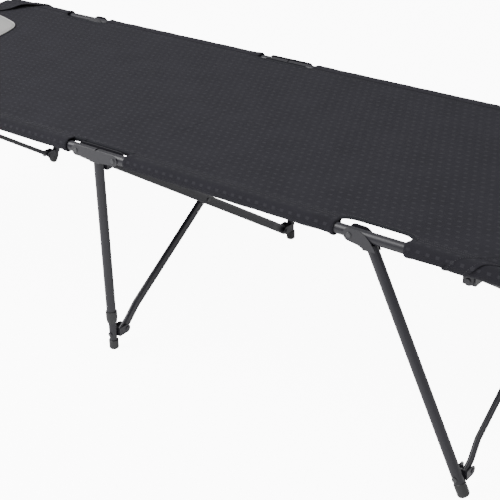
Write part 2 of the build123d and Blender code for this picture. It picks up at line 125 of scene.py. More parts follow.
def new_group(name, inputs, outputs):
    """An empty shader node group, with its sockets made from (name, kind, value)."""
    group = bpy.data.node_groups.new(name, "ShaderNodeTree")
    for title, kind, value in inputs:
        socket = group.interface.new_socket(title, in_out="INPUT", socket_type=kind)
        if value is not None:
            socket.default_value = value
    for title, kind in outputs:
        group.interface.new_socket(title, in_out="OUTPUT", socket_type=kind)
    return group, group.nodes.new("NodeGroupInput"), group.nodes.new("NodeGroupOutput")


def math_node(tree, operation, a, b=None):
    """A Math node with each input either a number or an output socket."""
    node = tree.nodes.new("ShaderNodeMath")
    node.operation = operation
    for socket, value in zip(node.inputs, (a, b)):
        if isinstance(value, (int, float)):
            socket.default_value = value
        elif value is not None:
            tree.links.new(value, socket)
    return node.outputs[0]


def build_coat():
    """Powder coat: a tint that drifts with slow noise, and a height with fine grain."""
    group, given, out = new_group(
        "powder_coat",
        [("Vector", "NodeSocketVector", None), ("Dark", "NodeSocketColor", None),
         ("Light", "NodeSocketColor", None), ("Grain", "NodeSocketFloat", 1400.0)],
        [("Color", "NodeSocketColor"), ("Roughness", "NodeSocketFloat"), ("Height", "NodeSocketFloat")])
    cloud = group.nodes.new("ShaderNodeTexNoise")
    cloud.inputs["Scale"].default_value = 9
    cloud.inputs["Detail"].default_value = 6
    fine = group.nodes.new("ShaderNodeTexNoise")
    fine.inputs["Detail"].default_value = 2
    for node in (cloud, fine):
        group.links.new(given.outputs["Vector"], node.inputs["Vector"])
    group.links.new(given.outputs["Grain"], fine.inputs["Scale"])
    mix = group.nodes.new("ShaderNodeMix")
    mix.data_type = "RGBA"
    group.links.new(cloud.outputs["Fac"], mix.inputs["Factor"])
    group.links.new(given.outputs["Dark"], mix.inputs["A"])
    group.links.new(given.outputs["Light"], mix.inputs["B"])
    group.links.new(mix.outputs["Result"], out.inputs["Color"])
    rough = math_node(group, "MULTIPLY_ADD", cloud.outputs["Fac"], 0.16)
    rough.node.inputs[2].default_value = 0.28
    group.links.new(rough, out.inputs["Roughness"])
    group.links.new(fine.outputs["Fac"], out.inputs["Height"])
    return group


COAT = build_coat()


def coated(name, dark, light, bump=0.00012, grain=1400.0, metal=0.0):
    """A powder-coated finish, read in object coordinates."""
    finish = bpy.data.materials.new(name)
    finish.use_nodes = True
    tree = finish.node_tree
    shader = tree.nodes["Principled BSDF"]
    where = tree.nodes.new("ShaderNodeTexCoord")
    coat = tree.nodes.new("ShaderNodeGroup")
    coat.node_tree = COAT
    coat.inputs["Dark"].default_value = (*dark, 1)
    coat.inputs["Light"].default_value = (*light, 1)
    coat.inputs["Grain"].default_value = grain
    rise = tree.nodes.new("ShaderNodeBump")
    rise.inputs["Distance"].default_value = bump
    rise.inputs["Strength"].default_value = 0.5
    tree.links.new(where.outputs["Object"], coat.inputs["Vector"])
    tree.links.new(coat.outputs["Color"], shader.inputs["Base Color"])
    tree.links.new(coat.outputs["Roughness"], shader.inputs["Roughness"])
    tree.links.new(coat.outputs["Height"], rise.inputs["Height"])
    tree.links.new(rise.outputs["Normal"], shader.inputs["Normal"])
    shader.inputs["Metallic"].default_value = metal
    return finish


def dress(names, finish):
    """Gives a finish to CAD nodes."""
    for name in names:
        mesh = NODES[name].data
        mesh.materials.clear()
        mesh.materials.append(finish)


tube_coat = coated("tube_powder_coat", (0.016, 0.015, 0.021), (0.023, 0.022, 0.029))
sheet_coat = coated("sheet_powder_coat", (0.021, 0.020, 0.026), (0.029, 0.028, 0.035), grain=1100.0)
dress([n for n in NODES if n.endswith(("_rail", "_upper_leg", "_lower_leg", "_head_leg", "_foot_leg"))
       or "_brace_" in n], tube_coat)
dress([n for n in NODES if n.endswith(("_bracket", "_clevis"))], sheet_coat)

# ---- Rivets ----------------------------------------------------------------------
# Domed steel rivets with a dark plated face, a little brighter than the coat.

rivet_steel = coated("plated_rivet", (0.045, 0.045, 0.05), (0.10, 0.10, 0.105), grain=700.0, metal=0.35)
dress([n for n in NODES if n.endswith(("_rivets", "_rivet"))], rivet_steel)

# ---- Feet and collars ------------------------------------------------------------
# Moulded black rubber feet, and a nylon collar that guides each sliding leg.

rubber = coated("moulded_rubber", (0.016, 0.016, 0.018), (0.028, 0.028, 0.030), bump=0.0003, grain=600.0)
nylon = coated("nylon", (0.018, 0.018, 0.020), (0.026, 0.026, 0.029), bump=0.0001, grain=900.0)
dress([n for n in NODES if n.endswith(("_leg_foot", "_lower_foot"))], rubber)
dress([n for n in NODES if n.endswith("_collar")], nylon)


# ---- Sleeves ---------------------------------------------------------------------
# The bed's cloth is wrapped over each rail, brought back up inside it and sewn
# down. Each half rail has two lengths of sleeve, hemmed at the cut-outs.

def cloth_group():
    """Woven polyester. UV is in metres. Threads cross at right angles; small light
    dashes stand in staggered rows; a slow noise fades the colour."""
    group, given, out = new_group(
        "woven_polyester",
        [("UV", "NodeSocketVector", None), ("Ground", "NodeSocketColor", None),
         ("Dash", "NodeSocketColor", None), ("Pitch", "NodeSocketFloat", 0.021),
         ("Dashes", "NodeSocketFloat", 1.0)],
        [("Color", "NodeSocketColor"), ("Height", "NodeSocketFloat")])
    split = group.nodes.new("ShaderNodeSeparateXYZ")
    group.links.new(given.outputs["UV"], split.inputs["Vector"])
    u, v = split.outputs["X"], split.outputs["Y"]
    row = math_node(group, "DIVIDE", v, given.outputs["Pitch"])
    row_number = math_node(group, "FLOOR", row)
    shift = math_node(group, "MULTIPLY", row_number, 0.5)
    column = math_node(group, "ADD", math_node(group, "DIVIDE", u, given.outputs["Pitch"]), shift)
    x = math_node(group, "ABSOLUTE", math_node(group, "SUBTRACT", math_node(group, "FRACT", column), 0.5))
    y = math_node(group, "ABSOLUTE", math_node(group, "SUBTRACT", math_node(group, "FRACT", row), 0.5))
    in_x = math_node(group, "LESS_THAN", x, 0.19)
    in_y = math_node(group, "LESS_THAN", y, 0.13)
    dash = math_node(group, "MULTIPLY", math_node(group, "MULTIPLY", in_x, in_y), given.outputs["Dashes"])
    fade = group.nodes.new("ShaderNodeTexNoise")
    fade.inputs["Scale"].default_value = 11
    fade.inputs["Detail"].default_value = 5
    group.links.new(given.outputs["UV"], fade.inputs["Vector"])
    worn = math_node(group, "MULTIPLY_ADD", fade.outputs["Fac"], 0.5)
    worn.node.inputs[2].default_value = 0.75
    ground = group.nodes.new("ShaderNodeVectorMath")
    ground.operation = "SCALE"
    group.links.new(given.outputs["Ground"], ground.inputs[0])
    group.links.new(worn, ground.inputs["Scale"])
    mix = group.nodes.new("ShaderNodeMix")
    mix.data_type = "RGBA"
    group.links.new(dash, mix.inputs["Factor"])
    group.links.new(ground.outputs["Vector"], mix.inputs["A"])
    group.links.new(given.outputs["Dash"], mix.inputs["B"])
    group.links.new(mix.outputs["Result"], out.inputs["Color"])
    thread_pitch = 0.0011
    warp = math_node(group, "SINE", math_node(group, "MULTIPLY", u, 2 * math.pi / thread_pitch))
    weft = math_node(group, "SINE", math_node(group, "MULTIPLY", v, 2 * math.pi / thread_pitch))
    weave = math_node(group, "MULTIPLY", warp, weft)
    soft = group.nodes.new("ShaderNodeTexNoise")
    soft.inputs["Scale"].default_value = 260
    group.links.new(given.outputs["UV"], soft.inputs["Vector"])
    total = math_node(group, "MULTIPLY_ADD", weave, 0.35)
    group.links.new(soft.outputs["Fac"], total.node.inputs[2])
    group.links.new(total, out.inputs["Height"])
    return group


WEAVE = cloth_group()


def cloth(name, ground, dash, dashes=1.0):
    """A woven cloth finish that follows the piece's own UV map."""
    finish = bpy.data.materials.new(name)
    finish.use_nodes = True
    tree = finish.node_tree
    shader = tree.nodes["Principled BSDF"]
    where = tree.nodes.new("ShaderNodeUVMap")
    where.uv_map = "cloth"
    weave = tree.nodes.new("ShaderNodeGroup")
    weave.node_tree = WEAVE
    weave.inputs["Ground"].default_value = (*ground, 1)
    weave.inputs["Dash"].default_value = (*dash, 1)
    weave.inputs["Pitch"].default_value = 0.020
    weave.inputs["Dashes"].default_value = dashes
    rise = tree.nodes.new("ShaderNodeBump")
    rise.inputs["Distance"].default_value = 0.0006
    rise.inputs["Strength"].default_value = 0.6
    tree.links.new(where.outputs["UV"], weave.inputs["UV"])
    tree.links.new(weave.outputs["Color"], shader.inputs["Base Color"])
    tree.links.new(weave.outputs["Height"], rise.inputs["Height"])
    tree.links.new(rise.outputs["Normal"], shader.inputs["Normal"])
    shader.inputs["Roughness"].default_value = 0.88
    shader.inputs["Specular IOR Level"].default_value = 0.14
    shader.inputs["Sheen Weight"].default_value = 0.03
    shader.inputs["Sheen Roughness"].default_value = 0.5
    shader.inputs["Sheen Tint"].default_value = (0.8, 0.82, 0.9, 1)
    return finish


bed_cloth = cloth("bed_polyester", (0.023, 0.022, 0.028), (0.036, 0.035, 0.042))
hem_cloth = cloth("hem_binding", (0.019, 0.019, 0.024), (0.036, 0.036, 0.040), dashes=0.0)
thread = coated("polyester_thread", (0.05, 0.05, 0.056), (0.075, 0.075, 0.08), grain=2000.0)


WRAP_V = 2 * math.pi * 0.013   # the cloth's V from a wrapped piece's last column on to its first


def grid_piece(name, points, uv, finish, wrap=False):
    """A mesh from a grid of points, rows by columns by 3, with a UV for each point.
    With wrap, the last column is joined to the first. Several grids can be given."""
    verts, faces, uvs = [], [], []
    start = 0
    for grid, flat in zip(points, uv):
        rows, columns = grid.shape[:2]
        number = np.arange(rows * columns).reshape(rows, columns) + start
        after = np.roll(number, -1, axis=1) if wrap else number[:, 1:]
        here = number if wrap else number[:, :-1]
        quads = np.stack([here[:-1], here[1:], after[1:], after[:-1]], axis=-1).reshape(-1, 4)
        loops = flat.reshape(-1, 2)[quads.reshape(-1) - start].reshape(-1, 4, 2)
        if wrap:
            last = (quads[:, 0] - start) % columns == columns - 1
            loops[last, 2:, 1] += WRAP_V
        verts.append(grid.reshape(-1, 3))
        faces.append(quads)
        uvs.append(loops.reshape(-1, 2))
        start += rows * columns
    verts, faces, uvs = np.concatenate(verts), np.concatenate(faces), np.concatenate(uvs)
    mesh = bpy.data.meshes.new(name)
    mesh.from_pydata(verts.tolist(), [], faces.tolist())
    layer = mesh.uv_layers.new(name="cloth")
    layer.data.foreach_set("uv", uvs.astype(np.float32).ravel())
    mesh.polygons.foreach_set("use_smooth", [True] * len(mesh.polygons))
    mesh.materials.append(finish)
    piece = bpy.data.objects.new(name, mesh)
    bpy.context.collection.objects.link(piece)
    return piece


sleeve_low, sleeve_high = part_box("front_foot_sleeve")
RAIL_Z = (sleeve_low[2] + sleeve_high[2]) / 2
RAIL_Y = -(sleeve_low[1] + sleeve_high[1]) / 2
SLEEVE_R = (sleeve_high[1] - sleeve_low[1]) / 2
MID_CUT = sleeve_low[0]
RAIL_END = sleeve_high[0]
END_CUT = (0.617, 0.771)  # a cut-out over an end bracket, along X
SEAM_IN = 0.0165          # the seam, inboard of the rail's axis
SEAM_UP = 0.0118          # the seam, above the rail's axis
HEM = 0.010               # width of a sleeve's hem


def sleeve_section(count=40):
    """The sleeve's outline: an arc over the outside of the rail, and two straight
    runs tangent to it that meet at the seam. Inboard is positive, up is positive."""
    far = math.hypot(SEAM_IN, SEAM_UP)
    toward = math.atan2(SEAM_UP, SEAM_IN)
    opening = math.acos(SLEEVE_R / far)
    turn = np.linspace(toward + opening, toward - opening + 2 * math.pi, count)
    arc = np.stack([np.cos(turn), np.sin(turn)], axis=1) * SLEEVE_R
    seam = np.array([[SEAM_IN, SEAM_UP]])
    share = np.linspace(0, 1, 6)[1:-1, None]
    over = seam + (arc[:1] - seam) * share
    under = arc[-1:] + (seam - arc[-1:]) * share
    return np.concatenate([seam, over, arc, under])


def sleeve_run(side, end, low, high, seed):
    """One length of sleeve: the section carried along the rail. It swells by less
    than a millimetre at the hems and has slack ripples that die out from them."""
    section = sleeve_section()
    along = np.concatenate([low + np.array([0, 0.0006, 0.002]),
                            np.arange(low + 0.004, high - 0.004, 0.006),
                            high - np.array([0.002, 0.0006, 0])])
    edge = np.minimum(along - low, high - along)
    band = np.where(edge < HEM, 1.0, np.exp(-((edge - HEM) / 0.0015) ** 2))
    round_off = np.clip(edge / 0.0012, 0, 1) ** 0.5
    swell = 0.0012 * band * round_off - 0.0008 * (1 - round_off)
    groove = -0.0012 * np.exp(-((edge - HEM - 0.001) / 0.0008) ** 2)
    around = np.linspace(0, 2 * math.pi, len(section), endpoint=False)
    rng = np.random.default_rng(seed)
    ripple = np.zeros((len(along), len(section)))
    for _ in range(7):
        k, m, phase = rng.uniform(25, 110), rng.integers(1, 4), rng.uniform(0, 6.28)
        ripple += np.sin(k * along[:, None] + m * around[None, :] + phase)
    near = np.exp(-edge / 0.05)
    ripple *= (0.00009 + 0.00014 * near)[:, None]
    size = 1 + (swell + groove)[:, None] / SLEEVE_R + ripple / SLEEVE_R
    size[:, 0] = 1
    inboard = section[None, :, 0] * size
    rise = section[None, :, 1] * size
    x = np.broadcast_to(along[:, None], inboard.shape)
    grid = np.stack([end * x, side * (RAIL_Y - inboard), RAIL_Z + rise], axis=-1)
    step = np.linalg.norm(np.diff(section, axis=0, append=section[:1]), axis=1)
    v = np.concatenate([[0], np.cumsum(step)[:-1]])
    uv = np.stack([x, np.broadcast_to(v[None, :], x.shape)], axis=-1)
    if side * end > 0:
        grid, uv = grid[:, ::-1], uv[:, ::-1]
    return grid, uv


def thicken(piece, thickness, offset=-1):
    """Gives a sheet its thickness."""
    solid = piece.modifiers.new("thickness", "SOLIDIFY")
    solid.thickness = thickness
    solid.offset = offset
    solid.use_even_offset = False
    return piece


SLEEVES = {}
for side_name, side in SIDES.items():
    for end_name, end in ENDS.items():
        runs = [sleeve_run(side, end, *cut, seed=len(SLEEVES) * 2 + i)
                for i, cut in enumerate(((MID_CUT, END_CUT[0]), (END_CUT[1], RAIL_END)))]
        name = f"{side_name}_{end_name}_sleeve_cloth"
        piece = grid_piece(name, [r[0] for r in runs], [r[1] for r in runs], bed_cloth, wrap=True)
        thicken(piece, 0.0012)
        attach(piece, f"{side_name}_{end_name}_rail")
        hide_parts(f"{side_name}_{end_name}_sleeve")
        SLEEVES[name] = piece


# ---- Bed -------------------------------------------------------------------------
# One stretched sheet, sewn to the sleeves and cut back round the brackets. It is
# made as a head length, a short middle length and a foot length, so that the frame
# can fold. Its cut edges are bound, and its seams have rows of stitches.

NOTCHES = [(-END_CUT[1], -END_CUT[0], 0.0305), (-MID_CUT, MID_CUT, 0.0195), (*END_CUT, 0.0305)]
NOTCH_ROUND = 0.030       # length of a cut-out's rounded corner
BED_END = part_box("bed_fabric")[1][0]
SEAM_Y = RAIL_Y - SEAM_IN
SEAM_Z = RAIL_Z + SEAM_UP
STRIP = (-0.052, 0.084)
CLOTH_T = 0.0022


def edge_line(x):
    """Half the sheet's width at x: the seam, or the rounded edge of a cut-out."""
    y = np.full_like(x, SEAM_Y)
    for low, high, depth in NOTCHES:
        deep = np.minimum(x - low, high - x)
        share = np.clip(deep / NOTCH_ROUND, 0, 1)
        bow = np.sqrt(np.clip(1 - (1 - share) ** 2, 0, 1))
        y = np.where(deep > 0, SEAM_Y - (depth - SEAM_IN) * bow, y)
    return y


def crease(distance, width):
    """A ridge one unit high that falls off as a bell curve."""
    return np.exp(-(distance / width) ** 2)


def bed_height(x, y):
    """The sheet's height: level with the seams, a shallow sag to the middle line,
    pulls that fan out from the cut-outs, and two faint creases across."""
    across = np.clip(np.abs(y) / SEAM_Y, 0, 1)
    sag = -0.0035 * (1 - across ** 2) ** 0.8
    pulls = np.zeros_like(x)
    for low, high, _ in NOTCHES:
        for corner in (low, high):
            d = np.hypot(x - corner, np.abs(y) - SEAM_Y)
            angle = np.arctan2(SEAM_Y - np.abs(y), x - corner)
            pulls += 0.0008 * np.sin(5 * angle + 3 * corner) * np.exp(-d / 0.06)
    reach = 1 / (1 + np.exp(y / 0.03))
    lines = 0.0007 * reach * crease(x - 0.082 - 0.02 * y, 0.0035)
    lines += 0.0004 * reach * crease(x + 0.050 + 0.02 * y, 0.004)
    wave = 0.0006 * np.sin(9 * x + 5 * y) * np.sin(7 * y - 3 * x + 1.1)
    wave += 0.0004 * np.sin(31 * x - 12 * y + 0.5) * np.sin(17 * y + 9 * x)
    return SEAM_Z + sag + (pulls + lines + wave) * (1 - across ** 6)


def follow_bed(piece, rail="front_head_rail"):
    """Rides on a body, with a mesh of its own."""
    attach(piece, rail)
    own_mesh(piece)


def bed_length(name, low, high, body):
    """A length of the bed: even rows along X, closer at the cut-outs' corners, and
    columns that run from edge to edge, closer at the edges."""
    near = NOTCH_ROUND * np.array([0, .004, .02, .06, .12, .22, .36, .55, .78, 1])
    corners = [x for a, b, _ in NOTCHES for x in (*(a + near), *(b - near)) if low < x < high]
    stops = np.array(sorted([low, high] + corners))
    rows = np.concatenate([np.linspace(a, b, max(2, int(math.ceil((b - a) / 0.008)) + 1))[:-1]
                           for a, b in zip(stops[:-1], stops[1:])] + [[high]])
    even = np.linspace(-1, 1, 101)
    share = 0.55 * np.sin(even * math.pi / 2) + 0.45 * even
    x = np.broadcast_to(rows[:, None], (len(rows), len(share)))
    y = edge_line(rows)[:, None] * share[None, :]
    grid = np.stack([x, y, bed_height(x, y)], axis=-1)
    piece = grid_piece(name, [grid], [np.stack([x, y], axis=-1)], bed_cloth)
    pairs = np.empty(2 * len(piece.data.edges), dtype=np.int32)
    piece.data.edges.foreach_get("vertices", pairs)
    places = np.empty(3 * len(piece.data.vertices), dtype=np.float32)
    piece.data.vertices.foreach_get("co", places)
    at = places[0::3][pairs].reshape(-1, 2)
    cut = (np.abs(at - low).max(axis=1) < 1e-5) | (np.abs(at - high).max(axis=1) < 1e-5)
    piece.data.attributes.new("sharp_edge", "BOOLEAN", "EDGE").data.foreach_set("value", cut)
    thicken(piece, CLOTH_T)
    follow_bed(piece, body)
    return piece


def binding(path, inward, width, up=0.0008, down=None):
    """A folded tape over a cut edge: a flat rounded section, carried along a path
    of X and Y on the sheet. Inward points from the edge into the sheet."""
    down = CLOTH_T + up if down is None else down
    turn = np.linspace(0, 2 * math.pi, 16, endpoint=False)
    boxy, past = 0.45, 0.0012
    bulge = [np.sign(wave) * np.abs(wave) ** boxy for wave in (np.cos(turn), np.sin(turn))]
    d = (width - past) / 2 + (width + past) / 2 * bulge[0]
    h = (up - down) / 2 + (up + down) / 2 * bulge[1]
    x = path[:, None, 0] + inward[:, None, 0] * d
    y = path[:, None, 1] + inward[:, None, 1] * d
    z = bed_height(x, np.clip(y, -SEAM_Y, SEAM_Y)) + h
    grid = np.stack([x, y, z], axis=-1)
    run = np.concatenate([[0], np.cumsum(np.linalg.norm(np.diff(path, axis=0), axis=1))])
    uv = np.stack([np.broadcast_to(run[:, None], x.shape), np.broadcast_to(d, x.shape)], axis=-1)
    return grid, uv


def inward_of(path, middle):
    """Unit vectors across a path, on the side of a given point. The path's middle
    decides the side for all of it."""
    along = np.gradient(path, axis=0)
    across = np.stack([-along[:, 1], along[:, 0]], axis=1)
    across /= np.linalg.norm(across, axis=1, keepdims=True)
    half = len(path) // 2
    return across * np.sign(np.sum(across[half] * (middle - path[half])))


def stitches(name, rows, finish, step=0.0048, size=(0.0031, 0.0008, 0.0004)):
    """Rows of short stitches: each is a long low lozenge on its line. A row is the
    points of the line, and the surface's normal at each."""
    verts, faces = [], []
    shape = np.array([[-.5, 0, 0], [.5, 0, 0], [0, .5, .3], [0, -.5, .3], [0, 0, 1], [0, 0, -1]])
    sides = np.array([[0, 3, 4], [3, 1, 4], [1, 2, 4], [2, 0, 4],
                      [3, 0, 5], [1, 3, 5], [2, 1, 5], [0, 2, 5]])
    for points, normals in rows:
        run = np.concatenate([[0], np.cumsum(np.linalg.norm(np.diff(points, axis=0), axis=1))])
        at = np.arange(step / 2, run[-1] - size[0] / 2, step)
        if len(at) == 0:
            at = np.array([run[-1] / 2])
        place = np.stack([np.interp(at, run, points[:, i]) for i in range(3)], axis=1)
        ahead = np.stack([np.interp(at + 0.0005, run, points[:, i]) for i in range(3)], axis=1)
        behind = np.stack([np.interp(at - 0.0005, run, points[:, i]) for i in range(3)], axis=1)
        n = np.stack([np.interp(at, run, normals[:, i]) for i in range(3)], axis=1)
        t = ahead - behind
        t /= np.linalg.norm(t, axis=1, keepdims=True)
        n -= t * np.sum(n * t, axis=1, keepdims=True)
        n /= np.linalg.norm(n, axis=1, keepdims=True)
        b = np.cross(n, t)
        local = shape * np.array(size)
        one = (place[:, None] + local[None, :, :1] * t[:, None] + local[None, :, 1:2] * b[:, None]
               + local[None, :, 2:] * n[:, None])
        start = sum(len(v) for v in verts)
        verts.append(one.reshape(-1, 3))
        faces.append((sides[None] + (np.arange(len(at)) * 6)[:, None, None] + start).reshape(-1, 3))
    mesh = bpy.data.meshes.new(name)
    mesh.from_pydata(np.concatenate(verts).tolist(), [], np.concatenate(faces).tolist())
    mesh.materials.append(finish)
    piece = bpy.data.objects.new(name, mesh)
    bpy.context.collection.objects.link(piece)
    return piece


def on_bed(path, lift=0.0):
    """A stitch row that lies on the sheet, from a path of X and Y."""
    z = bed_height(path[:, 0], path[:, 1]) + lift
    return np.column_stack([path, z]), np.tile([0.0, 0.0, 1.0], (len(path), 1))


def notch_path(low, high, side):
    """The cut edge from seam to seam, with points closer at the corners."""
    bend = NOTCH_ROUND * (1 - np.cos(np.linspace(0, math.pi / 2, 14)))
    straight = np.linspace(low + NOTCH_ROUND, high - NOTCH_ROUND, 30)
    x = np.unique(np.concatenate([low + bend, straight, high - bend]))
    return np.stack([x, side * edge_line(x)], axis=1)


SPANS = {"head": (-BED_END, STRIP[0]), "middle": STRIP, "foot": (STRIP[1], BED_END)}
BODIES = {"head": "front_head_rail", "middle": "front_centre", "foot": "front_foot_rail"}
BED = {}
for part, (low, high) in SPANS.items():
    sheet = bed_length(f"bed_{part}_length", low, high, BODIES[part])
    trims, rows = [], []
    for a, b, depth in NOTCHES:
        for side in (-1, 1):
            path = notch_path(a, b, side)
            path = path[(path[:, 0] >= low - 1e-9) & (path[:, 0] <= high + 1e-9)]
            if len(path) < 4:
                continue
            inward = inward_of(path, np.array([(a + b) / 2, 0.0]))
            trims.append(binding(path, inward, 0.010, down=0.0085 if depth < 0.03 else None))
            rows.append(on_bed(path + inward * 0.0082, lift=0.0007))
    stops = sorted({low, high, *[x for a, b, _ in NOTCHES for x in (a, b) if low < x < high]})
    for a, b in zip(stops[:-1], stops[1:]):
        if any(a >= n[0] - 1e-9 and b <= n[1] + 1e-9 for n in NOTCHES) or b - a < 0.03:
            continue
        x = np.arange(a + 0.004, b - 0.004, 0.02)
        for side in (-1, 1):
            for inset in (0.0035, 0.0105):
                rows.append(on_bed(np.stack([x, np.full_like(x, side * (SEAM_Y - inset))], axis=1)))
    if part != "middle":
        end = -1 if part == "head" else 1
        y = np.linspace(-SEAM_Y, SEAM_Y, 120)
        path = np.stack([np.full_like(y, end * BED_END), y], axis=1)
        trims.append(binding(path, np.tile([-end, 0.0], (len(y), 1)), 0.017))
        rows.append(on_bed(path + np.array([-end * 0.0150, 0]), lift=0.0007))
    hems = grid_piece(f"bed_{part}_hems", [t[0] for t in trims], [t[1] for t in trims],
                      hem_cloth, wrap=True)
    seams = stitches(f"bed_{part}_stitches", rows, thread)
    for piece in (hems, seams):
        follow_bed(piece, BODIES[part])
    BED[part] = (sheet, hems, seams)

# ---- Corner flaps ------------------------------------------------------------------
# A second layer at each corner of the bed. It lies on the sheet, and a tongue of it
# wraps over the rail. At the head end its free edge stands up a little.

FLAP_W = np.array([-0.062, -0.045, -0.027, -0.016, 0.0, 0.012, 0.022, 0.043, 0.062, 0.080, 0.110, 0.150])
FLAP_EDGE = np.array([0.838, 0.851, 0.869, 0.878, 0.896, 0.912, 0.924, 0.932, 0.940, 0.955, 0.985, 1.016])
TONGUE_EDGE = ((-0.062, -0.050, -0.041, -0.028, -0.015, -0.008, -0.002),
               (0.880, 0.893, 0.903, 0.917, 0.927, 0.936, 0.958))
FLAP_T = 0.0016
STITCHED, FAR_STITCHED = 5, 20   # columns of a flap's grid that carry a stitch row


def smooth_line(at, knots, values):
    """A line through points, with its corners rounded off by a running mean."""
    fine = np.linspace(knots[0], knots[-1], 600)
    line = np.interp(fine, knots, values)
    width = 45
    padded = np.concatenate([2 * line[0] - line[width:0:-1], line, 2 * line[-1] - line[-2:-width - 2:-1]])
    rounded = np.convolve(padded, np.ones(2 * width + 1) / (2 * width + 1), mode="valid")
    return np.interp(at, fine, rounded)


def wrapped(w, offset):
    """The place, inboard of the rail's axis and above it, of a point that lies a
    given way round from the seam: over the rail where w is negative, and on the
    sheet where it is positive. It stands off the cloth below by the offset."""
    section = sleeve_section(120)
    over = np.concatenate([section[:5], section[5:-4]])
    run = -np.concatenate([[0], np.cumsum(np.linalg.norm(np.diff(over, axis=0), axis=1))])
    line_w = np.concatenate([run[::-1], np.linspace(0.004, 0.2, 60)])
    flat = np.stack([SEAM_IN + line_w[len(run):], np.full(60, SEAM_UP)], axis=1)
    line = np.concatenate([over[::-1], flat])
    slope = np.gradient(line, line_w, axis=0)
    normal = np.stack([-slope[:, 1], slope[:, 0]], axis=1)
    normal /= np.linalg.norm(normal, axis=1, keepdims=True)
    place = np.stack([np.interp(w, line_w, line[:, i]) for i in range(2)], axis=-1)
    out = np.stack([np.interp(w, line_w, normal[:, i]) for i in range(2)], axis=-1)
    return place + out * offset[..., None]


def flap_grid(side, end, w, low, high, raised):
    """A grid of the flap between two lines, from the free edge towards the end."""
    share = np.concatenate([[0, 0.004, 0.012], np.linspace(0.02, 1, 22)])
    x = low[:, None] + (high - low)[:, None] * share[None, :]
    ww = np.broadcast_to(w[:, None], x.shape)
    from_edge = x - low[:, None]
    stand = 0.0009 + FLAP_T + 0.0008 * np.exp(-((from_edge - 0.004) / 0.004) ** 2)
    stand -= 0.0006 * np.exp(-((from_edge - 0.0125) / 0.0015) ** 2)
    stand += 0.0020 * np.clip(-ww / 0.03, 0, 1) * np.exp(-((ww + 0.03) / 0.02) ** 2)
    middle = np.exp(-((ww - 0.028) / 0.036) ** 2)
    stand += raised * middle * np.exp(-(from_edge / 0.026) ** 2)
    place = wrapped(ww, stand)
    y = RAIL_Y - place[..., 0]
    z = RAIL_Z + place[..., 1]
    inside = np.clip(ww / 0.02, 0, 1)
    z += inside * (bed_height(end * x, side * np.minimum(y, SEAM_Y)) - SEAM_Z)
    grid = np.stack([end * x, side * y, z], axis=-1)
    uv = np.stack([x, ww], axis=-1)
    if side * end < 0:
        grid, uv = grid[:, ::-1], uv[:, ::-1]
    return grid, uv


def flap_row(grid, column, side, end):
    """A stitch row down one column of a flap's grid."""
    points = grid[:, column if side * end > 0 else grid.shape[1] - 1 - column]
    out = points - np.array([0, side * RAIL_Y, RAIL_Z])
    out = np.where(np.abs(points[:, 1:2]) < SEAM_Y - 0.004, [[0, 0, 1.0]], out * [[0, 1, 1]])
    return points + 0.0002 * out / np.linalg.norm(out, axis=1, keepdims=True), out


for end_name, end in ENDS.items():
    raised = 0.0085 if end_name == "head" else 0.0012
    flaps, rows = [], []
    for side_name, side in SIDES.items():
        w = np.linspace(0.0, 0.149, 40)
        edge = smooth_line(w, FLAP_W, FLAP_EDGE)
        flap = flap_grid(side, end, w, edge, np.full_like(w, BED_END - 0.0008), raised)
        flaps.append(flap)
        rows.append(flap_row(flap[0], STITCHED, side, end))
        w = np.linspace(-0.060, 0.0, 26)
        edge = smooth_line(w, FLAP_W, FLAP_EDGE)
        far = np.interp(w, *TONGUE_EDGE)
        tongue = flap_grid(side, end, w, edge, far, raised)
        piece = grid_piece(f"{side_name}_{end_name}_tongue", [tongue[0]], [tongue[1]], bed_cloth)
        thicken(piece, FLAP_T)
        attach(piece, f"{side_name}_{end_name}_rail")
        row = stitches(f"{side_name}_{end_name}_tongue_stitches",
                       [flap_row(tongue[0], column, side, end) for column in (STITCHED, FAR_STITCHED)],
                       thread)
        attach(row, f"{side_name}_{end_name}_rail")
        SLEEVES[f"{side_name}_{end_name}_tongue"] = piece
        SLEEVES[f"{side_name}_{end_name}_tongue_stitches"] = row
    piece = grid_piece(f"{end_name}_corner_flaps", [f[0] for f in flaps], [f[1] for f in flaps], bed_cloth)
    thicken(piece, FLAP_T)
    row = stitches(f"{end_name}_flap_stitches", rows, thread)
    for part in (piece, row):
        follow_bed(part, BODIES[end_name])
    BED[f"{end_name}_flaps"] = (piece, row)

for part, (low, high) in SPANS.items():
    sheet, *on_it = BED[part]
    on_it += [piece for name, piece in SLEEVES.items() if f"_{part}_" in name]
    on_it += BED.get(f"{part}_flaps", ())
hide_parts("bed_fabric")

# ---- Headrest ------------------------------------------------------------------------
# A thin pad of pale grey knitted cloth over foam, laid on the bed and sewn down
# through the piping at its edge. The cloth is blown up over the foam by simulation.

pad_cloth = coated("pad_knit", (0.40, 0.395, 0.385), (0.47, 0.465, 0.455), bump=0.0008, grain=520.0)
piping_cloth = coated("pad_piping", (0.52, 0.515, 0.50), (0.58, 0.575, 0.56), bump=0.0004, grain=900.0)
pad_low, pad_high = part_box("headrest_pad")
PAD_HEAD_HALF = 0.222
PAD_FOOT_HALF = 0.175
PAD_SIDE_BOW = 0.005
PAD_FOOT_BOW = 0.040
PAD_ROUND = 0.030


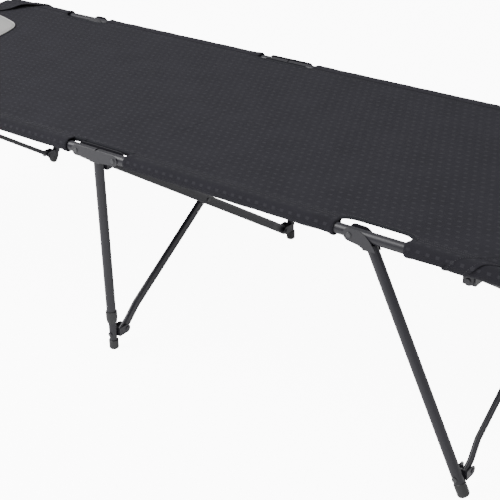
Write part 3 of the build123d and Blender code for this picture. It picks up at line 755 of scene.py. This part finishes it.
def arc_through(a, b, c, count):
    """Points along the circle through three points."""
    (ax, ay), (bx, by), (cx, cy) = a, b, c
    d = 2 * (ax * (by - cy) + bx * (cy - ay) + cx * (ay - by))
    ux = ((ax**2 + ay**2) * (by - cy) + (bx**2 + by**2) * (cy - ay) + (cx**2 + cy**2) * (ay - by)) / d
    uy = ((ax**2 + ay**2) * (cx - bx) + (bx**2 + by**2) * (ax - cx) + (cx**2 + cy**2) * (bx - ax)) / d
    r = math.hypot(ax - ux, ay - uy)
    turn = np.unwrap([math.atan2(p[1] - uy, p[0] - ux) for p in (a, b, c)])
    t = np.linspace(turn[0], turn[2], count)
    return np.stack([ux + r * np.cos(t), uy + r * np.sin(t)], axis=1)


def pad_outline(inset, count=320):
    """The pad's outline: two sides and a foot edge that bow out, and a straight head
    edge, with rounded corners. Rounding is a running mean along the line."""
    head_x, foot_x = pad_low[0], pad_high[0] - PAD_FOOT_BOW
    head_half = PAD_HEAD_HALF
    mid = ((head_x + foot_x) / 2, (head_half + PAD_FOOT_HALF) / 2 + PAD_SIDE_BOW)
    upper = arc_through((head_x, head_half), mid, (foot_x, PAD_FOOT_HALF), 60)
    foot = arc_through((foot_x, PAD_FOOT_HALF), (foot_x + PAD_FOOT_BOW, 0), (foot_x, -PAD_FOOT_HALF), 60)
    head = np.linspace((head_x, -head_half), (head_x, head_half), 60)
    lower = upper[::-1] * [1, -1]
    line = np.concatenate([upper[:-1], foot[:-1], lower[:-1], head[:-1]])
    closed = np.concatenate([line, line[:1]])
    run = np.concatenate([[0], np.cumsum(np.linalg.norm(np.diff(closed, axis=0), axis=1))])
    fine = np.linspace(0, run[-1], 1500, endpoint=False)
    even = np.stack([np.interp(fine, run, closed[:, i]) for i in range(2)], axis=1)
    half = int(PAD_ROUND * 1.1 / (run[-1] / 1500))
    kernel = np.ones(2 * half + 1) / (2 * half + 1)
    ring = np.concatenate([even[-half:], even, even[:half]])
    smooth = np.stack([np.convolve(ring[:, i], kernel, mode="valid") for i in range(2)], axis=1)
    along = np.roll(smooth, -1, axis=0) - np.roll(smooth, 1, axis=0)
    out = np.stack([along[:, 1], -along[:, 0]], axis=1)
    out /= np.linalg.norm(out, axis=1, keepdims=True)
    middle = smooth.mean(axis=0)
    out *= np.sign(np.sum(out * (smooth - middle), axis=1, keepdims=True))
    shape = smooth - out * inset
    return shape[np.linspace(0, 1500, count, endpoint=False).astype(int)]


def pad_shell(name, inset, edge, crown):
    """A closed pad over the sheet: rings drawn in from the outline to the middle,
    thicker by the crown towards the middle, over and under."""
    rim = pad_outline(inset)
    middle = rim.mean(axis=0)
    share = np.linspace(1, 0.02, 34)
    plan = middle + (rim - middle)[None] * share[:, None, None]
    base = bed_height(plan[..., 0], plan[..., 1]) + 0.0006
    thick = edge + crown * (1 - share[:, None] ** 4)
    verts = np.concatenate([np.dstack([plan, level]).reshape(-1, 3) for level in (base + thick, base)])
    rings, count = plan.shape[:2]
    number = np.arange(rings * count).reshape(rings, count)
    after = np.roll(number, -1, axis=1)
    quads = np.stack([number[:-1], after[:-1], after[1:], number[1:]], axis=-1).reshape(-1, 4)
    under = quads[:, ::-1] + rings * count
    wall = np.stack([number[0] + rings * count, after[0] + rings * count, after[0], number[0]], axis=-1)
    mesh = bpy.data.meshes.new(name)
    caps = [number[-1].tolist(), (number[-1][::-1] + rings * count).tolist()]
    mesh.from_pydata(verts.tolist(), [], quads.tolist() + under.tolist() + wall.tolist() + caps)
    piece = bpy.data.objects.new(name, mesh)
    bpy.context.collection.objects.link(piece)
    tidy = bmesh.new()
    tidy.from_mesh(mesh)
    bmesh.ops.recalc_face_normals(tidy, faces=tidy.faces)
    tidy.to_mesh(mesh)
    tidy.free()
    return piece


def bake_modifiers(piece):
    """Puts the result of a piece's modifiers into its mesh."""
    graph = bpy.context.evaluated_depsgraph_get()
    mesh = bpy.data.meshes.new_from_object(piece.evaluated_get(graph))
    piece.modifiers.clear()
    piece.data = mesh


def inflate(piece, voxel, cap, hold_below):
    """Blows a closed shell up as cloth: even remesh, 20 frames with pressure and no
    weight, no point moved by more than the cap, and none of the underside moved."""
    bpy.context.view_layer.objects.active = piece
    remesh = piece.modifiers.new("even", "REMESH")
    remesh.mode = "VOXEL"
    remesh.voxel_size = voxel
    bake_modifiers(piece)
    mesh = piece.data
    start = np.empty(len(mesh.vertices) * 3, dtype=np.float32)
    mesh.vertices.foreach_get("co", start)
    start = start.reshape(-1, 3).astype(float)
    held = start[:, 2] < bed_height(start[:, 0], start[:, 1]) + hold_below
    group = piece.vertex_groups.new(name="held")
    group.add(np.nonzero(held)[0].tolist(), 1.0, "REPLACE")
    cloth_mod = piece.modifiers.new("blow", "CLOTH")
    settings = cloth_mod.settings
    settings.quality = 5
    settings.mass = 0.25
    settings.tension_stiffness = settings.compression_stiffness = 12
    settings.bending_stiffness = 0.4
    settings.use_pressure = True
    settings.uniform_pressure_force = 4
    settings.effector_weights.gravity = 0
    settings.vertex_group_mass = "held"
    for frame_number in range(1, 21):
        bpy.context.scene.frame_set(frame_number)
    graph = bpy.context.evaluated_depsgraph_get()
    result = piece.evaluated_get(graph).to_mesh()
    moved = np.empty(len(result.vertices) * 3, dtype=np.float32)
    result.vertices.foreach_get("co", moved)
    piece.evaluated_get(graph).to_mesh_clear()
    step = moved.reshape(-1, 3) - start
    reach = np.linalg.norm(step, axis=1, keepdims=True)
    step *= cap * np.tanh(reach / cap) / np.maximum(reach, 1e-9)
    piece.modifiers.remove(cloth_mod)
    piece.vertex_groups.clear()
    mesh.vertices.foreach_set("co", (start + step).astype(np.float32).ravel())
    mesh.update()
    bpy.context.scene.frame_set(1)


pad = pad_shell("headrest_cushion", 0.0035, 0.0052, 0.0022)
inflate(pad, 0.0045, 0.0045, 0.0022)
smoothing = pad.modifiers.new("rounder", "SUBSURF")
smoothing.levels = smoothing.render_levels = 1
bake_modifiers(pad)
pad.data.polygons.foreach_set("use_smooth", [True] * len(pad.data.polygons))
pad.data.materials.clear()
pad.data.materials.append(pad_cloth)

rim = pad_outline(0.0022, 320)
turn = np.linspace(0, 2 * math.pi, 10, endpoint=False)
middle = rim.mean(axis=0)
closed = np.concatenate([rim, rim[:1]])
away = np.roll(rim, -1, axis=0) - np.roll(rim, 1, axis=0)
away = np.stack([away[:, 1], -away[:, 0]], axis=1)
away /= np.linalg.norm(away, axis=1, keepdims=True)
away *= np.sign(np.sum(away * (rim - middle), axis=1, keepdims=True))
away = np.concatenate([away, away[:1]])
height = bed_height(closed[:, 0], closed[:, 1]) + 0.0027
ring = np.stack([closed[:, None, 0] + away[:, None, 0] * 0.0021 * np.cos(turn),
                 closed[:, None, 1] + away[:, None, 1] * 0.0021 * np.cos(turn),
                 height[:, None] + 0.0021 * np.sin(turn)], axis=-1)
piping = grid_piece("headrest_piping", [ring[:, ::-1]], [ring[:, ::-1, :2]], piping_cloth, wrap=True)
for piece in (pad, piping):
    follow_bed(piece)
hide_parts("headrest_pad")
